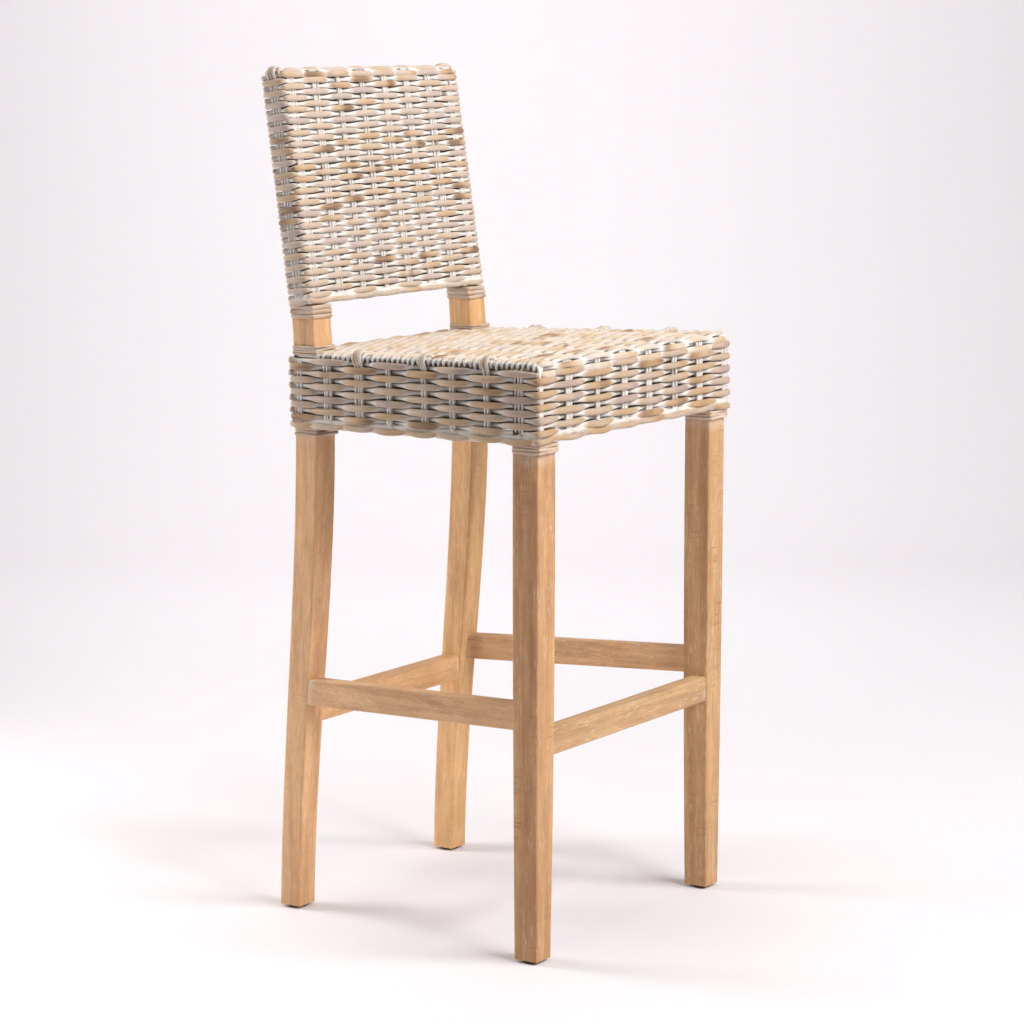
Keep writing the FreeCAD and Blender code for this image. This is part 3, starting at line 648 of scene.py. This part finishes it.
def seat_top_row(bundle, y, parity):
    """One strand across the seat, tucked in at both ends.

    On the turned-down front and rear edges it stops short of the corners, between the back posts it
    stops at the posts, and elsewhere its ends turn down over the sides.
    """
    back, half, slope = seat_cover.row(y)
    steep = slope > 0.5
    turn = seat_cover.side_turn(half)
    reach = half - 6 if steep else turn + rng.uniform(4.0, 6.5)
    if back > post_front - 4 and not steep:
        reach = post_inside - 2
    x = np.linspace(-reach, reach, int(2 * reach / RINGS_EVERY))
    wave = over_under(x, face_places * half + rng.normal(0, 0.8, FACE_GROUPS)) * (1 - 2 * parity)
    lift, thick, tall = profile(RIM, wave)
    to_edge = smooth(half - 16, half - 4, np.abs(x))
    lift = lift * (1 - to_edge) + (-9.0 if steep else -3.4) * to_edge
    tall = tall * (1 - to_edge) + 2.2 * to_edge
    lift = lift + wander(x + reach, 2 * reach, (90, 55), 0.35)
    track = y + wander(x + reach, 2 * reach, (300, 120, 70), 0.6)
    centre, outward = seat_cover.place(x, track, lift)
    tone, dark = cane_look(x + reach, 2 * reach, rng.uniform(0.25, 0.75))
    # the ends that turn down count as lower, so they get more whitewash and more painted shade
    seen = lift - 5.5 * smooth(half - 6, turn, np.abs(x))
    bundle.strand(centre, outward, thick, tall, seen, tone, dark)


def seat_top():
    """The weavers across the top, spread evenly over it and its two turned-down edges."""
    end = seat_cover.foot - 0.4 + abs(FIRST_ROW)
    lines = np.linspace(-end, end, TOP_ROWS + 2)[1:-1]
    for band, rows in bands(TOP_ROWS, 9):
        bundle = Bundle(SEAT_FRAME, RIM.depth)
        for row in rows:
            seat_top_row(bundle, lines[row], row % 2)
        bundle.build(f"seat_top_weavers_{band}", top_cane, "rattan", "woven_seat_top")


def seat_stakes_lengthways():
    """Stakes that rise up the front, run back under the top's weavers and drop down the rear."""
    bundle = Bundle(SEAT_FRAME, RIM.depth)
    end = seat_cover.foot + SEAT_DROP - 13
    for u, number in zip(face_places, group_sizes(FACE_GROUPS)):
        for offset in canes(number, RIM.stake_pitch):
            y = np.linspace(-end, end, 250)
            half = seat_cover.row(y)[1]
            x = u * (half + seat_cover.inset) + offset + wander(y + end, 2 * end, (400, 150), 1.2)
            lift = RIM.stake_lift + wander(y + end, 2 * end, (37, 61), 0.4)
            look = cane_look(y + end, 2 * end, rng.uniform(0, 1), (300, 90), 0.3, 400)
            stake(bundle, RIM, seat_cover, x, y, lift, lift, look)
    bundle.build("seat_stakes_front_to_rear", stake_cane, "rattan", "woven_seat_top", "woven_seat_rim")


def seat_stakes_sides():
    """Stakes down the sides; every second group also laps in over the ends of the top's weavers."""
    bundle = Bundle(SEAT_FRAME, RIM.depth)
    flush = seat_cover.inset + RIM.stake_lift
    for side in (-1, 1):
        for index, (y, number) in enumerate(zip(side_places, group_sizes(FACE_GROUPS))):
            turn = seat_cover.side_turn(seat_half(y) - seat_cover.inset)
            reach = turn + seat_cover.height + SEAT_DROP - 17
            laps = index % 2 == 0 and index > 0
            for offset in canes(number, RIM.stake_pitch):
                x = np.linspace(turn + (LAP_STARTS if laps else 4), reach, 48)
                lift = np.full(len(x), flush)
                if laps:
                    lift = lap(x, turn, [(LAP_STARTS, -8), (-19, -0.5), (-10, 1.6), (0, 1.2)], flush)
                track = y - SEAT_DEEP / 2 + offset + wander(x, reach, (90, 60), 0.6)
                look = cane_look(x, reach, rng.uniform(0, 1), (90,), 0.3, 300)
                seen = np.minimum(lift - seat_cover.inset, -3.0)
                stake(bundle, RIM, seat_cover, side * x, track, lift, seen, look)
    bundle.build("seat_stakes_sides", stake_cane, "rattan", "woven_seat_rim")


def seat_border():
    bundle = Bundle(SEAT_FRAME, RIM.depth)
    border(bundle, seat_wall, RIM, seat_stakes, FIRST_ROW - ROWS * ROW + 4.2, 5.4, FOOT_SAG)
    bundle.build("seat_border_braid", rim_cane, "rattan", "woven_seat_border")


seat_rim()
seat_top()
seat_stakes_lengthways()
seat_stakes_sides()
seat_border()


# ------------------------------------------------------------------ the back
PANEL_ROWS = 39
PANEL_FIRST = 13.0  # the lowest strand, from the foot of the back
PANEL_EDGE = 10.0  # radius of the back's rounded top
CAP_ROWS = 7
FLARE = 0.02
COLUMN_REACH = 176  # the outermost stake groups, from the middle
PANEL_LAP_STARTS = -30
panel_step = (PANEL_TALL - PANEL_EDGE - PANEL_FIRST) / (PANEL_ROWS - 1)


def panel_half(y):
    return np.full(np.shape(y), PANEL_HALF)


panel_plan = [(-PANEL_HALF, 0), (PANEL_HALF, 0), (PANEL_HALF, PANEL_DEEP), (-PANEL_HALF, PANEL_DEEP)]
panel_wall = Loop(panel_plan, CORNER_RADIUS)
panel_cover = Cover(
    panel_half, inset=2.5, side_edge=8.0, half_deep=PANEL_DEEP / 2, edge=PANEL_EDGE, height=PANEL_TALL + 1.0
)
column_places = np.linspace(-COLUMN_REACH, COLUMN_REACH, FACE_GROUPS)
column_places[1:-1] += rng.normal(0, 1.5, FACE_GROUPS - 2)
panel_groups = (
    [(x, 0) for x in column_places]
    + [(PANEL_HALF, PANEL_DEEP / 2)]
    + [(x, PANEL_DEEP) for x in column_places[::-1]]
    + [(-PANEL_HALF, PANEL_DEEP / 2)]
)
panel_stakes = np.array([panel_wall.where(x, y) for x, y in panel_groups])


def back_rows():
    """The weavers round the back."""
    for band, rows in bands(PANEL_ROWS, 6):
        bundle = Bundle(PANEL_FRAME, PANEL.depth, FLARE)
        for row in rows:
            loop_row(bundle, panel_wall, PANEL, panel_stakes, PANEL_FIRST + row * panel_step, row % 2)
        bundle.build(f"back_weavers_{band}", panel_cane, "rattan", "woven_back")


def back_cap():
    """The weavers along the back's rounded top."""
    bundle = Bundle(PANEL_FRAME, PANEL.depth, FLARE)
    end = panel_cover.foot - PANEL_TALL + PANEL_EDGE
    lines = np.linspace(-end, end, CAP_ROWS + 2)[1:-1]
    for row, y in enumerate(lines):
        _, half, slope = panel_cover.row(y)
        steep = slope > 0.75
        reach = half - 5 if steep else panel_cover.side_turn(half) + 4
        x = np.linspace(-reach, reach, int(2 * reach / RINGS_EVERY))
        wave = over_under(x, column_places) * (1 - 2 * ((row + PANEL_ROWS) % 2))
        lift, thick, tall = profile(PANEL, wave)
        to_edge = smooth(half - 16, half - 4, np.abs(x))
        lift = lift * (1 - to_edge) + (-7.5 if steep else -3.0) * to_edge
        centre, outward = panel_cover.place(x, y + wander(x + reach, 2 * reach, (300, 90), 0.4), lift)
        tone, dark = cane_look(x + reach, 2 * reach, rng.uniform(0.2, 0.7))
        bundle.strand(centre, outward, thick, tall * 0.95, lift, tone, dark)
    bundle.build("back_cap_weavers", panel_cane, "rattan", "woven_back")


def back_stakes():
    """Stakes up the front, over the top and down the rear, then one group down each side."""
    bundle = Bundle(PANEL_FRAME, PANEL.depth, FLARE)
    end = panel_cover.foot - 12
    for place, number in zip(column_places, group_sizes(FACE_GROUPS)):
        for offset in canes(number, PANEL.stake_pitch):
            y = np.linspace(-end, end, 220)
            x = place + offset + wander(y + end, 2 * end, (300, 130), 0.8)
            lift = PANEL.stake_lift + wander(y + end, 2 * end, (37, 61), 0.3)
            look = cane_look(y + end, 2 * end, rng.uniform(0, 1), (300, 90), 0.3, 400)
            stake(bundle, PANEL, panel_cover, x, y, lift, lift, look)
    turn = panel_cover.side_turn(PANEL_HALF - panel_cover.inset)
    reach = turn + PANEL_TALL - 13
    flush = panel_cover.inset + PANEL.stake_lift
    for side in (-1, 1):
        for offset in canes(3, 4.6):
            x = np.linspace(turn + PANEL_LAP_STARTS, reach, 110)
            lift = lap(x, turn, [(PANEL_LAP_STARTS, -6), (-20, -0.5), (-9, 1.4), (0, 1.0)], flush)
            look = cane_look(x, reach, rng.uniform(0, 1), (90,), 0.3, 400)
            seen = np.minimum(lift - panel_cover.inset, -2.5)
            stake(bundle, PANEL, panel_cover, side * x, offset, lift, seen, look)
    bundle.build("back_stakes", stake_cane, "rattan", "woven_back")


def back_border():
    bundle = Bundle(PANEL_FRAME, PANEL.depth, FLARE)
    border(bundle, panel_wall, PANEL, panel_stakes, PANEL_FIRST - panel_step + 3.6, 3.8)
    bundle.build("back_border_braid", panel_cane, "rattan", "woven_back_border")


back_rows()
back_cap()
back_stakes()
back_border()


# ------------------------------------------------------------------ cane wraps round the legs and posts
WRAP_THICK = 1.15  # half the thickness of the flat cane


def wrap(node, turns, lean=0.0, sink=0.0):
    """Flat cane wound round a leg where the CAD has a plain band, `sink` mm below it."""
    low, high = box_mm(node)
    middle, half = (low + high) / 2, (high - low) / 2
    slope = math.tan(lean)
    half[Y] -= half[Z] * abs(slope)
    wide, deep, tall = half
    ring = Loop([(-wide, -deep), (wide, -deep), (wide, deep), (-wide, deep)], radius=4.0)
    bundle = Bundle(WORLD_FRAME, depth=2.4)
    pitch = 2 * tall / turns
    for turn in range(turns):
        n = int(ring.length / RINGS_EVERY * 2)
        s = np.arange(n) * ring.length / n
        height = (turn + 0.5) * pitch - tall + wander(s, ring.length, (90, 60), 0.45)
        lift = np.full(n, -WRAP_THICK) + wander(s, ring.length, (70, 45), 0.25) + rng.uniform(-0.3, 0.3)
        centre, outward = ring.place(s, height, lift)
        centre = centre + middle - (0, 0, sink)
        centre[:, Y] += height * slope
        tone, dark = cane_look(s, ring.length, rng.uniform(0.2, 0.8), (90, 50), 0.3, 500)
        bundle.strand(centre, outward, WRAP_THICK, pitch * 0.47, lift, tone, dark, closed=True)
    bundle.build(node + "_cane", wrap_cane, "cane", node)


for end in ("left", "right"):
    wrap(f"leg_binding_front_{end}", 3)
    wrap(f"leg_binding_rear_{end}", 3)
    wrap(f"post_binding_{end}", 4, sink=5.5)
    wrap(f"panel_binding_{end}", 3, lean=BACK_LEAN)


# ------------------------------------------------------------------ the wooden frame, glides and hardware
def dress(material, slot, *nodes):
    """Gives CAD nodes a material; their shapes stay as they are."""
    for node in nodes:
        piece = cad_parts[node]
        piece.data.materials.clear()
        piece.data.materials.append(material)


def dress_legs():
    """The legs, whitened under the seat and with painted shade where the weave covers them."""
    seat_foot = rim_low[Z] * MM
    joints = [(Z, seat_foot - 0.012, 0.024, 0.2)]
    # heights inside the seat and the back, where the legs get painted shade
    in_seat = (seat_foot - 0.003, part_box("post_binding_left")[0][Z] - 0.002)
    in_back = (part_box("panel_binding_left")[1][Z], cad_high[Z])
    # The rear legs' lighter tones are partly their own wood and partly painted light, raised to make up for
    # the shade they stand in behind the seat.
    legs = [
        ("front_leg_left", "ab7a55", "d1a372"),
        ("front_leg_right", "af8156", "d1a677"),
        ("rear_leg_left", "c7966b", "eebd8b"),
        ("rear_leg_right", "c69462", "edbd86"),
    ]
    for index, (node, dark, light) in enumerate(legs):
        saw = 0.75 if node.startswith("front") else 0.25
        shift = index * 0.37
        wood = wood_finish(node + "_wood", Z, dark, light, joints, saw, shift, (in_seat, in_back))
        dress(wood, "frame_wood", node)


def dress_stretchers():
    """The stretchers, whitened at both ends where residue stays round the joints."""
    # node, grain, dark and light tones, reach and strength of the residue at the near end, saw marks, shift
    bars = [
        ("side_stretcher_left", Y, "be8f66", "e5b688", 0.008, 0.35, 0.0, 1.1),
        ("side_stretcher_right", Y, "be8f66", "e5b688", 0.008, 0.35, 0.0, 2.1),
        ("footrest", X, "b48a63", "d5ad7f", 0.010, 0.4, 0.25, 3.1),
        ("rear_stretcher", X, "c59365", "eab883", 0.010, 0.4, 0.25, 4.1),
    ]
    for node, grain, dark, light, reach, strength, saw, shift in bars:
        low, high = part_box(node)
        near_end = (grain, low[grain] + 0.004, reach, strength)
        far_end = (grain, high[grain] - 0.004, 0.016, 0.4)
        wood = wood_finish(node + "_wood", grain, dark, light, [near_end, far_end], saw, shift)
        dress(wood, "frame_wood", node)


def dress_inner_wood():
    """The rough sawn pieces inside the weave, in a dark tone that is painted shade for the inside of the
    weave.
    """
    groups = [
        (X, ["seat_rail_front", "seat_rail_rear", "back_rail_bottom", "back_rail_middle", "back_rail_top"]),
        (Y, ["seat_rail_left", "seat_rail_right", "seat_batten_left", "seat_batten_right"]),
        (X, ["corner_block_front_left", "corner_block_front_right"]),
        (X, ["corner_block_rear_left", "corner_block_rear_right"]),
    ]
    for index, (grain, names) in enumerate(groups):
        # painted shade: these dark tones stand in for the shade inside the weave
        wood = wood_finish(f"inner_wood_{index}", grain, "6a5540", "806a4d", saw=0.4, shift=5.0 + index)
        dress(wood, "inner_wood", *names)


dress_legs()
dress_stretchers()
dress_inner_wood()
glides = [f"glide_{row}_{side}" for row in ("front", "rear") for side in ("left", "right")]
dress(plain_finish("glide_plastic", "1b1a1a", 0.4, 0.45), "glide_plastic", *glides)
steel = plain_finish("zinc_steel", "b9bbbd", 0.5, 0.38, metallic=1.0)
dress(steel, "steel", "glide_nails", "corner_block_screws")


# ------------------------------------------------------------------ floor, light and camera
HEADING = math.radians(55.95)  # the camera looks this far round from +Y towards +X
PITCH = math.radians(8.98)  # and this far down


def sweep_floor():
    """A pale floor that rises in one curve into the wall behind."""
    near, bend, radius, top, half_wide, steps = -8.0, 2.6, 1.8, 7.0, 9.0, 24
    ahead = Vector((math.sin(HEADING), math.cos(HEADING), 0))
    side = Vector((ahead.y, -ahead.x, 0))
    outline = [(near, 0.0), (bend, 0.0)]
    for k in range(1, steps + 1):
        angle = math.pi / 2 * k / steps
        outline.append((bend + radius * math.sin(angle), radius * (1 - math.cos(angle))))
    outline.append((bend + radius, top))
    points = []
    for along, height in outline:
        for across in (-half_wide, half_wide):
            points.append(ahead * along + side * across + Vector((0, 0, height)))
    faces = [(2 * k, 2 * k + 1, 2 * k + 3, 2 * k + 2) for k in range(len(outline) - 1)]
    mesh = bpy.data.meshes.new("floor")
    mesh.from_pydata(points, [], faces)
    mesh.shade_smooth()
    floor = bpy.data.objects.new("floor", mesh)
    bpy.context.scene.collection.objects.link(floor)
    f = Finish("studio_paper", 0.1)
    f.shader.inputs["Base Color"].default_value = colour("e6e2e4")
    f.shader.inputs["Roughness"].default_value = 0.9
    mesh.materials.append(f.material)


def area_light(name, place, target, width, tall, power):
    """A soft box at `place` that faces `target`, unseen by the camera itself."""
    data = bpy.data.lights.new(name, "AREA")
    data.shape = "RECTANGLE"
    data.size, data.size_y = width, tall
    data.energy = power
    lamp = bpy.data.objects.new(name, data)
    lamp.location = place
    lamp.visible_camera = False
    lamp.rotation_mode = "QUATERNION"
    lamp.rotation_quaternion = (Vector(target) - Vector(place)).to_track_quat("-Z", "Y")
    bpy.context.scene.collection.objects.link(lamp)


def pale_sky():
    """A sky that adds little light but looks pale where the paper ends."""
    world = bpy.data.worlds.new("studio")
    world.use_nodes = True
    tree = world.node_tree
    sky = tree.nodes["Background"]
    sky.inputs["Color"].default_value = colour("fbf9fa")
    seen_by = tree.nodes.new("ShaderNodeLightPath")
    brightness = tree.nodes.new("ShaderNodeMapRange")
    brightness.inputs["To Min"].default_value = 0.08
    brightness.inputs["To Max"].default_value = 0.82
    tree.links.new(seen_by.outputs["Is Camera Ray"], brightness.inputs["Value"])
    tree.links.new(brightness.outputs["Result"], sky.inputs["Strength"])
    bpy.context.scene.world = world


def camera_in_front():
    """The photo's view, from the front left and a little above."""
    lens = bpy.data.cameras.new("camera")
    lens.lens = 107.8
    lens.sensor_width = 36.0
    camera = bpy.data.objects.new("camera", lens)
    camera.location = (-3.338, -2.287, 1.171)
    level = math.cos(PITCH)
    sight = Vector((math.sin(HEADING) * level, math.cos(HEADING) * level, -math.sin(PITCH)))
    camera.rotation_mode = "QUATERNION"
    camera.rotation_quaternion = sight.to_track_quat("-Z", "Y")
    bpy.context.scene.collection.objects.link(camera)
    bpy.context.scene.camera = camera


sweep_floor()
area_light("key", (0.2, -3.2, 3.0), (0, 0, 0.6), 3.2, 2.4, 214)
area_light("rear", (-0.56, 1.4, 0.78), (0, 0, 0.4), 0.7, 1.3, 20)
area_light("top", (-0.2, 0.5, 3.6), (-0.2, 0.4, 0.5), 2.0, 2.0, 42)
area_light("wash", (1.36, 1.38, 2.3), (3.5, 2.6, 0.95), 1.2, 1.2, 42)
pale_sky()
camera_in_front()
bpy.context.scene.view_settings.view_transform = "Standard"
